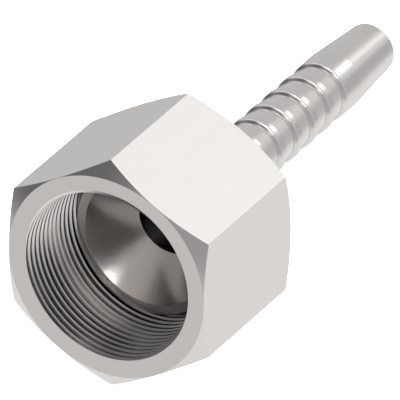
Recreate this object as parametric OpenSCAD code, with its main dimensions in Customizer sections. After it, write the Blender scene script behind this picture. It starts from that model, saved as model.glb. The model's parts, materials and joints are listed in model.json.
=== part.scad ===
// Hose nipple with a loose union nut, in millimetres, lying on one flat of the nut.
// The common axis runs along Y: the nut's open end is at low y, the hose tail at high y.
// The origin is on the surface that the nut lies on, below the middle of the length.
// Every place along the axis is counted from the nut's open end.

/* [Union nut] */
// Width across the flats
nut_af = 55; // [52:0.5:65]
// Length of the nut
nut_l = 42.5; // [38:0.5:60]
// Angle of the chamfers on the corners, from the nut's end faces
chamfer_a = 30; // [15:1:40]
// How far the round end faces lie inside the flats
chamfer_in = 0.05; // [0.05:0.05:1]
// Thickness of the back wall that draws on the nipple's head
back_wall = 8.5; // [5:0.5:12]

/* [Thread] */
// Outer diameter of the thread
thread_d = 47.5; // [46:0.5:49]
// Pitch of the thread
thread_p = 2; // [1:0.25:2.5]
// How much wider than the thread the bore round the nipple's head is
relief_over = 0.4; // [0.2:0.1:2]

/* [Head of the nipple] */
// Length of the head, from its ring to the nut's back wall
head_l = 14.1; // [12:0.1:18]
// Gap between the head and the crests of the thread
head_gap = 2.45; // [0.5:0.05:3]
// Chamfer round the head
head_chamfer = 0.3; // [0.2:0.1:1]
// Diameter of the cone seat at its rim
seat_d = 35; // [30:0.5:37]
// Angle between the cone seat and the axis
seat_a = 37; // [30:1:45]

/* [Neck] */
// Diameter of the neck that the nut turns on
neck_d = 24; // [22:0.5:28]
// Running gap between the neck and the nut, all round
neck_gap = 0.08; // [0.03:0.01:0.1]
// How far the neck stands out behind the nut
neck_out = 13.5; // [6:0.5:25]
// Chamfer on the neck's end and in the nut's back bore
edge_chamfer = 0.8; // [0.6:0.1:1.5]
// Fillet between the neck and the back of the head
neck_fillet = 0.5; // [0.2:0.1:0.5]

/* [Bore] */
// Diameter of the hole behind the cone seat
hole_d = 17.9; // [14:0.1:19]
// Diameter of the bore through the tail
bore_d = 11; // [8:0.5:12]
// How far before the neck's end the hole has narrowed to the bore
step_back = 2.7; // [1:0.1:5]

/* [Hose tail] */
// Plain stem between the neck and the first ridge
stem_l = 8; // [4:0.5:20]
// Diameter over the ridges
ridge_d = 16.2; // [15.5:0.1:18]
// Number of ridges
ridge_n = 6; // [2:1:9]
// Distance from one ridge to the next
ridge_p = 8; // [6:0.25:12]
// Depth of the valleys between the ridges
ridge_h = 0.75; // [0.3:0.05:0.9]
// Angle between a ridge's shoulder and the axis
shoulder_a = 45; // [30:5:80]
// Rounding of a ridge's edge
ridge_round = 0.4; // [0.1:0.05:0.6]
// Length of the straight land on a ridge
land_l = 1.9; // [1:0.1:3]
// Length of the straight land on the last ridge
last_land_l = 7.2; // [2:0.1:12]
// Length of the taper at the tail's end
tip_l = 18.8; // [5:0.1:30]
// Diameter of the tail's end
tip_d = 13.4; // [13:0.1:15]

/* [Hidden] */
$fn = 120;

// Root flats leave this share of the pitch as the depth of an inside thread, on the radius
THREAD_DEPTH = 0.54127;
// Steps of an arc in an outline
ARC_STEPS = 4;
// How far a cutting shape runs past the face that it opens
CUT_OVER = 1;
// Clear space between the end of the thread and the nipple's head
THREAD_END_GAP = 0.5;
STEEL = [0.80, 0.79, 0.77];
BRIGHT_STEEL = [0.72, 0.71, 0.69];

// Radii
face_r = nut_af / 2 - chamfer_in;
corner_r = nut_af / 2 / cos(30);
crest_r = thread_d / 2 - THREAD_DEPTH * thread_p;
relief_r = (thread_d + relief_over) / 2;
head_r = crest_r - head_gap;
seat_r = seat_d / 2;
hole_r = hole_d / 2;
bore_r = bore_d / 2;
neck_r = neck_d / 2;
back_bore_r = neck_r + neck_gap;
ridge_r = ridge_d / 2;
valley_r = ridge_r - ridge_h;
tip_r = tip_d / 2;

// Places along the axis
back_wall_y = nut_l - back_wall;
ring_y = back_wall_y - head_l;
thread_end_y = ring_y - THREAD_END_GAP;
relief_y = thread_end_y + relief_r - crest_r;
seat_end_y = ring_y + (seat_r - hole_r) / tan(seat_a);
neck_end_y = nut_l + neck_out;
step_end_y = neck_end_y - step_back;
step_y = step_end_y - (hole_r - bore_r);
first_ridge_y = neck_end_y + stem_l;
last_ridge_y = first_ridge_y + (ridge_n - 1) * ridge_p;
taper_y = last_ridge_y + last_land_l;
total_l = taper_y + tip_l;

// Length of a shoulder along the axis
shoulder_l = ridge_h / tan(shoulder_a);

// Arc in an outline from angle a0 to a1, round a centre at radius r and place y
function arc(r, y, radius, a0, a1) =
    [for (i = [0:ARC_STEPS]) let (a = a0 + (a1 - a0) * i / ARC_STEPS) [r + radius * cos(a), y + radius * sin(a)]];

// Outline of one ridge whose edge is at y: shoulder, rounded edge and straight land
function ridge(y, land) = concat(
    [[valley_r, y - shoulder_l]],
    arc(ridge_r - ridge_round, y + ridge_round * tan(shoulder_a / 2), ridge_round, -shoulder_a, 0),
    [[ridge_r, y + land]]
);

// All ridges, from the stem to the last one
function ridges() =
    [for (i = [0:ridge_n - 1], p = ridge(first_ridge_y + i * ridge_p, i < ridge_n - 1 ? land_l : last_land_l)) p];

// Turns an outline of [radius, place] points about the axis, which then lies along Y above its support
module turned(outline) {
    translate([0, -total_l / 2, nut_af / 2]) rotate([-90, 0, 0]) rotate_extrude() polygon(outline);
}

// Hexagon bar, as long as the nut
module hex_bar() {
    translate([0, -total_l / 2, nut_af / 2]) rotate([-90, 0, 0]) cylinder(h = nut_l, r = corner_r, $fn = 6);
}

// Round blank whose ends take the corners off the hexagon bar
module nut_blank() {
    chamfer_l = (corner_r + CUT_OVER - face_r) * tan(chamfer_a);
    turned([
        [0, 0],
        [face_r, 0],
        [corner_r + CUT_OVER, chamfer_l],
        [corner_r + CUT_OVER, nut_l - chamfer_l],
        [face_r, nut_l],
        [0, nut_l]
    ]);
}

// Everything that is bored out of the nut: thread to its crests, room for the head, back bore
module nut_bore() {
    turned([
        [0, -CUT_OVER],
        [crest_r, -CUT_OVER],
        [crest_r, thread_end_y],
        [relief_r, relief_y],
        [relief_r, back_wall_y],
        [back_bore_r + edge_chamfer, back_wall_y],
        [back_bore_r, back_wall_y + edge_chamfer],
        [back_bore_r, nut_l - edge_chamfer],
        [back_bore_r + edge_chamfer, nut_l],
        [back_bore_r + edge_chamfer, nut_l + CUT_OVER],
        [0, nut_l + CUT_OVER]
    ]);
}

// Union nut: milled from hexagon bar, bored and chamfered
module hex_nut() {
    color(STEEL) difference() {
        intersection() {
            hex_bar();
            nut_blank();
        }
        nut_bore();
    }
}

// Nipple: head with a cone seat, neck, ridged tail and a stepped bore, turned in one piece
module nipple() {
    head = [
        [seat_r, ring_y],
        [head_r - head_chamfer, ring_y],
        [head_r, ring_y + head_chamfer],
        [head_r, back_wall_y]
    ];
    neck = concat(
        arc(neck_r + neck_fillet, back_wall_y + neck_fillet, neck_fillet, 270, 180),
        [[neck_r, neck_end_y - edge_chamfer], [neck_r - edge_chamfer, neck_end_y], [valley_r, neck_end_y]]
    );
    tip = [[tip_r, total_l], [bore_r, total_l]];
    bore = [[bore_r, step_end_y], [hole_r, step_y], [hole_r, seat_end_y]];
    color(BRIGHT_STEEL) turned(concat(head, neck, ridges(), tip, bore));
}

hex_nut();
nipple();
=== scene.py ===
import json
import math

import bmesh
import bpy
from mathutils import Matrix, Vector


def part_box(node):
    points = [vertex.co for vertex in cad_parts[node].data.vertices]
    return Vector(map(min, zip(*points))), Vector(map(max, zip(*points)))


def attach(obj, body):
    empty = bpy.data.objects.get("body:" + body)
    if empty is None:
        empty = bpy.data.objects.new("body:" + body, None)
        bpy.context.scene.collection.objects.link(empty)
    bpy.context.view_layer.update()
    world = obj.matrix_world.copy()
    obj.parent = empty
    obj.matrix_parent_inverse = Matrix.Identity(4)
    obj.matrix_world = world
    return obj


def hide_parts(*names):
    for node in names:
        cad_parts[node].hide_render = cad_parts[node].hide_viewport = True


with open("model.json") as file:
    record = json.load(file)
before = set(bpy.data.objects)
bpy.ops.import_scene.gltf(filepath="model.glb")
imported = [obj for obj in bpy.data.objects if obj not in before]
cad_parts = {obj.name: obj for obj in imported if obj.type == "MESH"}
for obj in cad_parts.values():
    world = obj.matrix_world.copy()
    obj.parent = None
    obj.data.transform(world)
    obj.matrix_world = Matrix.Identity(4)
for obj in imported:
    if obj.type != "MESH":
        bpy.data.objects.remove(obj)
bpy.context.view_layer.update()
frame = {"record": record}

# Union nut
# The real nut is cut from bright-drawn stainless hexagon bar. Its two ends are turned with a 30 degree
# chamfer. It is bored as far as the wall that draws on the nipple's head, and threaded most of that way.

MM = 0.001


def mount(name):
    """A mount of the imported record, by its name."""
    return next(m for m in frame["record"]["mounts"] if m["name"] == name)


nut_low, nut_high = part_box("hex_nut")
nut_length = nut_high.y - nut_low.y
half_flats = (nut_high.z - nut_low.z) / 2
axis_height = (nut_high.z + nut_low.z) / 2
side_angle = math.radians(60)
corner_radius = half_flats / math.cos(side_angle / 2)
corner_rounding = 0.06 * MM

# The end faces are round, because the chamfer takes the corners down to just inside the flats.
chamfer_angle = math.radians(30)
chamfer_inset = 0.05 * MM
end_face_radius = half_flats - chamfer_inset

# Metric fine thread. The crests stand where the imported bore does, and the roots lie deeper in the wall, by
# the standard share of the pitch. The crests are a little broader than the standard's, and the roots
# narrower.
pitch = 2 * MM
thread_depth = 0.54127 * pitch
crest_radius = mount("nut_thread")["dims"]["r_mm"] * MM
root_radius = crest_radius + thread_depth
crest_flat = 0.34 * pitch
root_flat = 0.03 * pitch

# The helix starts well below the mouth, which cuts it off, and at the height that brings the first groove
# to where the photo has it. It ends beside the nipple's head.
thread_start = -2.38 * pitch
thread_end = 27 * MM
thread_back = thread_end + pitch

# Room for the nipple's head behind the thread, the back wall, and its bore, which runs on the neck
relief_depth = 0.2 * MM
relief_radius = root_radius + relief_depth
back_wall_thickness = 8.5 * MM
back_wall = nut_length - back_wall_thickness
neck_radius = 12 * MM
running_gap = 0.08 * MM
back_bore_radius = neck_radius + running_gap
edge_chamfer = 0.8 * MM

TURN_STEPS = 180

# Points closer together than this are one point.
WELD = 0.001 * MM

# More than one step round the axis turns, and less than the 4 degrees that the tail's taper turns by
SHARP_EDGE = math.radians(3)

# Pieces are turned about their own Z axis with the nut's mouth at height 0, then laid along Y.
laid_down = Matrix.Translation((0, nut_low.y, axis_height)) @ Matrix.Rotation(math.radians(-90), 4, "X")


def pull_ring(bm, ring, place):
    """Pulls a new ring out of a ring of edges. place turns an angle into a radius and a height."""
    pulled = bmesh.ops.extrude_edge_only(bm, edges=ring)["geom"]
    fresh = {v for v in pulled if isinstance(v, bmesh.types.BMVert)}
    for v in fresh:
        angle = math.atan2(v.co.y, v.co.x)
        radius, height = place(angle)
        v.co = (radius * math.cos(angle), radius * math.sin(angle), height)
    return [e for e in pulled if isinstance(e, bmesh.types.BMEdge) and set(e.verts) <= fresh]


def circle(radius, height):
    """A round ring for pull_ring."""
    return lambda angle: (radius, height)


def hexagon_radius(angle):
    """How far the hexagon's outline is from the axis, with corners at 0, 60, 120 degrees and so on."""
    return half_flats / math.cos(angle % side_angle - side_angle / 2)


def chamfer_height(angle):
    """How far along the axis the chamfer reaches at that angle: furthest at the corners."""
    return (hexagon_radius(angle) - end_face_radius) * math.tan(chamfer_angle)


def open_loop(bm, height):
    """The edges of the open border that lies at one height."""
    return [e for e in bm.edges if e.is_boundary and all(abs(v.co.z - height) < WELD for v in e.verts)]


def finished(bm, name, material):
    """Closes the work on a mesh: faces it outwards, lays it down in the frame, and makes it an object."""
    bmesh.ops.recalc_face_normals(bm, faces=bm.faces)
    bm.transform(laid_down)
    mesh = bpy.data.meshes.new(name)
    bm.to_mesh(mesh)
    bm.free()
    mesh.shade_smooth()
    mesh.set_sharp_from_angle(angle=SHARP_EDGE)
    mesh.materials.append(material)
    piece = bpy.data.objects.new(name, mesh)
    bpy.context.scene.collection.objects.link(piece)
    return piece


def cut_thread(bm):
    """The threaded bore: one pitch of the thread's section is spun up a right-hand helix."""
    flank = (pitch - crest_flat - root_flat) / 2
    section = [
        (crest_radius, thread_start),
        (crest_radius, thread_start + crest_flat),
        (root_radius, thread_start + crest_flat + flank),
        (root_radius, thread_start + crest_flat + flank + root_flat),
        (crest_radius, thread_start + pitch),
    ]
    corners = [bm.verts.new((r, 0, z)) for r, z in section]
    edges = [bm.edges.new(pair) for pair in zip(corners, corners[1:])]

    # The points between the corners let the flanks bend where the thread runs out.
    bmesh.ops.subdivide_edges(bm, edges=edges, cuts=2)
    bmesh.ops.spin(
        bm,
        geom=bm.verts[:] + bm.edges[:],
        axis=(0, 0, 1),
        dvec=(0, 0, pitch / TURN_STEPS),
        angle=math.tau,
        steps=TURN_STEPS,
    )
    one_turn = bm.verts[:] + bm.edges[:] + bm.faces[:]
    for turn in range(1, math.ceil((thread_back - thread_start) / pitch)):
        copy = bmesh.ops.duplicate(bm, geom=one_turn)["geom"]
        copied = [v for v in copy if isinstance(v, bmesh.types.BMVert)]
        bmesh.ops.translate(bm, verts=copied, vec=(0, 0, turn * pitch))
    bmesh.ops.remove_doubles(bm, verts=bm.verts, dist=WELD)

    # At its end the thread widens at 45 degrees to the room for the head.
    for v in bm.verts:
        radius = math.hypot(v.co.x, v.co.y)
        runout = min(relief_radius, crest_radius + v.co.z - thread_end)
        grown = max(radius, runout) / radius
        v.co.x *= grown
        v.co.y *= grown
    for height, outwards in ((0, -1), (thread_back, 1)):
        everything = bm.verts[:] + bm.edges[:] + bm.faces[:]
        bmesh.ops.bisect_plane(
            bm, geom=everything, plane_co=(0, 0, height), plane_no=(0, 0, outwards), clear_outer=True
        )
    bmesh.ops.remove_doubles(bm, verts=bm.verts, dist=WELD)


# The rings go from the mouth outwards, along the flats, in through the back bore, and over the back wall
# to the thread's end.
bm = bmesh.new()
cut_thread(bm)
mouth = open_loop(bm, 0)
thread_exit = open_loop(bm, thread_back)
rim = set(bmesh.ops.create_circle(bm, segments=TURN_STEPS, radius=end_face_radius)["verts"])
front_ring = [e for e in bm.edges if set(e.verts) <= rim]
chamfer_edge = pull_ring(bm, front_ring, lambda a: (hexagon_radius(a), chamfer_height(a)))
back_edge = pull_ring(bm, chamfer_edge, lambda a: (hexagon_radius(a), nut_length - chamfer_height(a)))
ring = pull_ring(bm, back_edge, circle(end_face_radius, nut_length))
for radius, height in (
    (back_bore_radius + edge_chamfer, nut_length),
    (back_bore_radius, nut_length - edge_chamfer),
    (back_bore_radius, back_wall + edge_chamfer),
    (back_bore_radius + edge_chamfer, back_wall),
    (relief_radius, back_wall),
):
    ring = pull_ring(bm, ring, circle(radius, height))
bmesh.ops.bridge_loops(bm, edges=mouth + front_ring)
bmesh.ops.bridge_loops(bm, edges=thread_exit + ring)
corner_edges = [e for e in bm.edges if all(v.co.xy.length > corner_radius - WELD for v in e.verts)]
bmesh.ops.bevel(
    bm, geom=corner_edges, offset=corner_rounding, segments=2, profile=0.5, affect="EDGES", material=-1
)


def linear(code):
    """An sRGB colour such as "#D0CCC7" as the linear colour that a shader takes."""
    parts = [int(code[i:i + 2], 16) / 255 for i in (1, 3, 5)]
    return [p / 12.92 if p <= 0.04045 else ((p + 0.055) / 1.055) ** 2.4 for p in parts] + [1]


def add(tree, kind, inputs=(), **settings):
    """Adds a node with its settings. inputs pairs an input's name or number with its value or feed."""
    node = tree.nodes.new(kind)
    for name, value in settings.items():
        setattr(node, name, value)
    for entry, source in inputs:
        if isinstance(source, bpy.types.NodeSocket):
            tree.links.new(source, node.inputs[entry])
        else:
            node.inputs[entry].default_value = source
    return node


# A fine tool leaves marks about 0.1 mm apart. They are drawn 0.7 mm apart, so that a glint shows them, and
# a thousandth of a millimetre deep. The roughness varies with them by a small step either way. Lines
# along the bar are 50 times as long as they are wide.
MARK_SPACING = 0.7 * MM
MARK_DEPTH = 0.001 * MM
ROUGHNESS_SPREAD = 0.015
LINE_STRETCH = 1 / 50
STEEL_COLOUR = "#DEDBD8"


def steel(name, roughness, rings):
    """Stainless steel in an even satin with faint marks: rings round the axis, or lines along it."""
    material = bpy.data.materials.new(name)
    material.use_nodes = True
    tree = material.node_tree
    shader = tree.nodes["Principled BSDF"]
    shader.inputs["Base Color"].default_value = linear(STEEL_COLOUR)
    shader.inputs["Metallic"].default_value = 1
    place = add(tree, "ShaderNodeTexCoord").outputs["Object"]
    centring = [("Vector", place), ("Location", (0, 0, -axis_height))]
    if rings:
        # A pattern that takes only the distance from the axis and the place along it comes out as rings.
        centred = add(tree, "ShaderNodeMapping", centring).outputs["Vector"]
        flattening = [(0, centred), (1, (1, 0, 1))]
        across = add(tree, "ShaderNodeVectorMath", flattening, operation="MULTIPLY").outputs[0]
        radius = add(tree, "ShaderNodeVectorMath", [(0, across)], operation="LENGTH").outputs["Value"]
        along = add(tree, "ShaderNodeSeparateXYZ", [("Vector", centred)]).outputs["Y"]
        lay = add(tree, "ShaderNodeCombineXYZ", [("X", radius), ("Y", along)]).outputs["Vector"]
    else:
        centring.append(("Scale", (1, LINE_STRETCH, 1)))
        lay = add(tree, "ShaderNodeMapping", centring).outputs["Vector"]
    marks = add(tree, "ShaderNodeTexNoise", [("Vector", lay), ("Scale", 1 / MARK_SPACING), ("Detail", 1)])
    height = marks.outputs["Fac"]
    spread = [(0, height), (1, 2 * ROUGHNESS_SPREAD), (2, roughness - ROUGHNESS_SPREAD)]
    dull = add(tree, "ShaderNodeMath", spread, operation="MULTIPLY_ADD").outputs[0]
    bump = add(tree, "ShaderNodeBump", [("Height", height), ("Distance", MARK_DEPTH), ("Strength", 1)])
    tree.links.new(dull, shader.inputs["Roughness"])
    tree.links.new(bump.outputs["Normal"], shader.inputs["Normal"])
    return material


# Drawn flats are as smooth as the die that the bar came through: a satin with faint lines along the bar.
# Turned faces have the same tone, with faint rings in place of the lines.
BAR_ROUGHNESS = 0.22
drawn_bar_steel = steel("drawn_bar_steel", BAR_ROUGHNESS, rings=False)
turned_bar_steel = steel("turned_bar_steel", BAR_ROUGHNESS, rings=True)
nut = finished(bm, "union_nut", drawn_bar_steel)
nut.data.materials.append(turned_bar_steel)

# The flats keep the drawn finish. They lie outermost and don't lean along the axis, as the chamfers do.
FLAT_LEAN = 0.1
for face in nut.data.polygons:
    from_axis = Vector((face.center.x, face.center.z - axis_height)).length
    drawn = abs(face.normal.y) < FLAT_LEAN and from_axis > half_flats - WELD
    face.material_index = 0 if drawn else 1
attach(nut, "nut")
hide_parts("hex_nut")

# Nipple
# The real nipple is turned from round stainless bar in one piece: a head with a flat ring and a cone seat,
# a neck that the nut turns on, and a tail whose ridges bite into a hose. It is bored right through.

nipple_low, nipple_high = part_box("nipple")
ring_height = nipple_low.y - nut_low.y
tail_end = nipple_high.y - nut_low.y
head_radius = (nipple_high.x - nipple_low.x) / 2
head_chamfer = 0.3 * MM
seat_radius = mount("cone_seat")["dims"]["r_mm"] * MM
seat_angle = math.radians(37)
hole_radius = 8.95 * MM
seat_bottom = ring_height + (seat_radius - hole_radius) / math.tan(seat_angle)

# The neck stands out behind the nut, and the hole behind the seat narrows to the tail's bore inside it.
neck_out = 13.5 * MM
neck_end = nut_length + neck_out
neck_fillet = 0.5 * MM
bore_radius = mount("flow_bore")["dims"]["r_mm"] * MM
step_back = 2.7 * MM
step_end = neck_end - step_back

# Hose tail: a plain stem, the ridges, and a taper that the hose is started on
stem_length = 8 * MM
ridge_radius = mount("hose_tail")["dims"]["r_mm"] * MM
ridge_count = 6
ridge_pitch = 8 * MM
ridge_depth = 0.75 * MM
ridge_rounding = 0.75 * MM
ridge_land = 1.9 * MM
last_land = 7.2 * MM
shoulder_angle = math.radians(45)
valley_radius = ridge_radius - ridge_depth
first_ridge = neck_end + stem_length
tip_radius = 6.7 * MM

# Each step of a ridge's rounded edge turns by less than SHARP_EDGE, so that it is shaded smooth.
ARC_STEPS = 16


def ridge(edge, land):
    """Outline of a ridge: a slanting shoulder, a rounded edge and a straight land."""
    centre_radius = ridge_radius - ridge_rounding
    centre_height = edge + ridge_rounding * math.tan(shoulder_angle / 2)
    shoulder = (valley_radius, edge - ridge_depth / math.tan(shoulder_angle))
    arc = [shoulder_angle * (1 - i / ARC_STEPS) for i in range(ARC_STEPS + 1)]
    rounded = [
        (centre_radius + ridge_rounding * math.cos(a), centre_height - ridge_rounding * math.sin(a))
        for a in arc
    ]
    return [shoulder] + rounded + [(ridge_radius, edge + land)]


# The turned outline, from the bottom of the seat round the head and along the tail, and back in the
# bore. The nut hides the fillet behind the head, so a slanting line stands for it.
outline = [
    (hole_radius, seat_bottom),
    (seat_radius, ring_height),
    (head_radius - head_chamfer, ring_height),
    (head_radius, ring_height + head_chamfer),
    (head_radius, back_wall),
    (neck_radius + neck_fillet, back_wall),
    (neck_radius, back_wall + neck_fillet),
    (neck_radius, neck_end - edge_chamfer),
    (neck_radius - edge_chamfer, neck_end),
    (valley_radius, neck_end),
]
for i in range(ridge_count):
    outline += ridge(first_ridge + i * ridge_pitch, last_land if i == ridge_count - 1 else ridge_land)
outline += [
    (tip_radius, tail_end),
    (bore_radius, tail_end),
    (bore_radius, step_end),
    (hole_radius, step_end - (hole_radius - bore_radius)),
]

bm = bmesh.new()
corners = [bm.verts.new((r, 0, z)) for r, z in outline]
edges = [bm.edges.new(pair) for pair in zip(corners, corners[1:] + corners[:1])]
bmesh.ops.spin(
    bm, geom=corners + edges, axis=(0, 0, 1), angle=math.tau, steps=TURN_STEPS, use_merge=True
)
bmesh.ops.remove_doubles(bm, verts=bm.verts, dist=WELD)


def runs_round(edge):
    """Whether both ends of an edge lie at the same height and the same distance from the axis."""
    a, b = (v.co for v in edge.verts)
    return abs(a.z - b.z) < WELD and abs(a.xy.length - b.xy.length) < WELD


# Sharp rings behind the head are broken a little. The head and the seat's rim stay crisp, as in the photo.
BROKEN_ANGLE = math.radians(30)
EDGE_ROUNDING = 0.06 * MM
broken_edges = [
    e
    for e in bm.edges
    if runs_round(e) and e.calc_face_angle() > BROKEN_ANGLE and e.verts[0].co.z > back_wall + WELD
]
bmesh.ops.bevel(
    bm, geom=broken_edges, offset=EDGE_ROUNDING, segments=2, profile=0.5, affect="EDGES", material=-1
)

# The nipple is turned finer than the nut, so it mirrors the lights in crisper spots.
FINE_ROUGHNESS = 0.18
turned_steel = steel("turned_steel", FINE_ROUGHNESS, rings=True)
nipple = finished(bm, "turned_nipple", turned_steel)
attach(nipple, "nipple")
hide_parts("nipple")

# Floor and light
# A pale matt surface under soft light. The steel mirrors only the studio, which is pale behind and above
# the part and dark in front of it.

# The floor lies a hair below the flat that rests on it, so that the two planes don't share one height. It
# gives off light, because the photo's ground is blank white without a shadow.
FLOOR_HALF = 2000 * MM
FLOOR_GAP = 0.02 * MM
FLOOR_GLOW = 0.75
bm = bmesh.new()
bmesh.ops.create_grid(bm, x_segments=1, y_segments=1, size=FLOOR_HALF)
bmesh.ops.translate(bm, verts=bm.verts, vec=(0, 0, -FLOOR_GAP))
mesh = bpy.data.meshes.new("floor")
bm.to_mesh(mesh)
bm.free()
floor_paint = bpy.data.materials.new("floor_paint")
floor_paint.use_nodes = True
floor_shader = floor_paint.node_tree.nodes["Principled BSDF"]
floor_shader.inputs["Base Color"].default_value = linear("#F2F1EF")
floor_shader.inputs["Roughness"].default_value = 0.9
floor_shader.inputs["Specular IOR Level"].default_value = 0
floor_shader.inputs["Emission Color"].default_value = linear("#FFFFFF")
floor_shader.inputs["Emission Strength"].default_value = FLOOR_GLOW
mesh.materials.append(floor_paint)
floor = bpy.data.objects.new("floor", mesh)
bpy.context.scene.collection.objects.link(floor)
floor.visible_glossy = False

world = bpy.data.worlds.new("studio")
bpy.context.scene.world = world
world.use_nodes = True
sky = world.node_tree
sky.nodes.clear()
look = add(sky, "ShaderNodeTexCoord").outputs["Generated"]


def softbox(total, towards, inner_degrees, outer_degrees, strength):
    """Adds a round patch to the studio's light, in one direction.

    It is full inside one angle and gone outside another. A negative strength makes it a dark cloth.
    """
    directions = [(0, look), (1, Vector(towards).normalized())]
    facing = add(sky, "ShaderNodeVectorMath", directions, operation="DOT_PRODUCT").outputs["Value"]
    limits = [
        ("Value", facing),
        ("From Min", math.cos(math.radians(outer_degrees))),
        ("From Max", math.cos(math.radians(inner_degrees))),
        ("To Max", strength),
    ]
    patch = add(sky, "ShaderNodeMapRange", limits, interpolation_type="SMOOTHSTEP", clamp=True)
    terms = [(0, total), (1, patch.outputs["Result"])]
    return add(sky, "ShaderNodeMath", terms, operation="ADD").outputs[0]


# Even light from everywhere, which the patches add to or take from
AMBIENT = 0.65

# Behind and above: the sheen on the top flat and the spots on the ridges' lands
light = softbox(AMBIENT, (0.01, 0.74, 0.67), 3, 13, 0.8)
light = softbox(light, (0.06, 0.8, 0.6), 8, 24, 0.2)

# Overhead: the spot on the cone seat and the white line on each ridge's edge
light = softbox(light, (0.1, -0.44, 0.89), 6, 13, 3.7)
light = softbox(light, (-0.35, -0.02, 0.93), 6, 18, 3)
light = softbox(light, (-0.63, 0.03, 0.77), 8, 18, 0.7)

# Low at the left, and below: soft fill
light = softbox(light, (-0.96, 0.12, 0.22), 12, 30, 0.6)
light = softbox(light, (0.55, 0.1, -0.83), 54, 70, 0.29)

# Behind, at the right and low down: dimmer patches, for the grey band along the tail, its edges and the
# left flat
light = softbox(light, (0.57, 0.75, 0.34), 8, 20, -0.1)
light = softbox(light, (-0.1, 0.75, -0.66), 10, 26, -0.34)

# Dark cloths in front and at the left: the thread's dark flanks, the ridges' shoulders and the shaded
# chamfers
light = softbox(light, (-0.9, -0.4, -0.05), 33, 55, -0.48)
light = softbox(light, (0.1, -0.9, 0.35), 20, 40, -0.24)
light = softbox(light, (0.73, -0.58, 0.37), 12, 28, -0.14)
light = softbox(light, (-0.34, -0.63, 0.7), 3, 13, -0.3)

# The camera sees a plain white backdrop in place of the studio.
studio_light = add(sky, "ShaderNodeBackground", [("Color", light)])
backdrop = add(sky, "ShaderNodeBackground", [("Color", linear("#FFFFFF"))])
from_camera = add(sky, "ShaderNodeLightPath").outputs["Is Camera Ray"]
shown = add(
    sky, "ShaderNodeMixShader", [(0, from_camera), (1, studio_light.outputs[0]), (2, backdrop.outputs[0])]
)
add(sky, "ShaderNodeOutputWorld", [("Surface", shown.outputs[0])])

# One square soft lamp overhead lights the matt floor. The steel doesn't mirror it.
lamp_data = bpy.data.lights.new("overhead", "AREA")
lamp_data.size = 0.9
lamp_data.energy = 30
lamp = bpy.data.objects.new("overhead", lamp_data)
lamp.location = (0.1, 0.2, 0.9)
lamp.rotation_mode = "QUATERNION"
lamp.rotation_quaternion = (-lamp.location).to_track_quat("-Z", "Y")
lamp.visible_glossy = False
bpy.context.scene.collection.objects.link(lamp)

# Camera
# The photo is a parallel view, rolled so that the part's axis rises to the upper right. A very long lens
# from far away comes within a pixel or so of it.

azimuth = math.radians(9.54)
elevation = math.radians(40.77)
roll = math.radians(34.66)
aim = Vector((-1.14, -9.08, 17.33)) * MM
distance = 4644 * MM
level = Vector((math.sin(azimuth), -math.cos(azimuth), 0))
to_camera = level * math.cos(elevation) + Vector((0, 0, math.sin(elevation)))
unrolled = (-to_camera).to_track_quat("-Z", "Y")
camera_data = bpy.data.cameras.new("photo_view")
camera_data.lens = 1700
camera_data.sensor_width = 36
camera_data.clip_end = 20
camera = bpy.data.objects.new("photo_view", camera_data)
camera.rotation_mode = "QUATERNION"
camera.rotation_quaternion = unrolled @ Matrix.Rotation(roll, 4, "Z").to_quaternion()
camera.location = aim + to_camera * distance
bpy.context.scene.collection.objects.link(camera)
bpy.context.scene.camera = camera
bpy.context.scene.view_settings.view_transform = "Standard"

# Light is mirrored twice at most, which keeps the deep hole nearly as dark as it is in the photo.
bpy.context.scene.cycles.glossy_bounces = 2
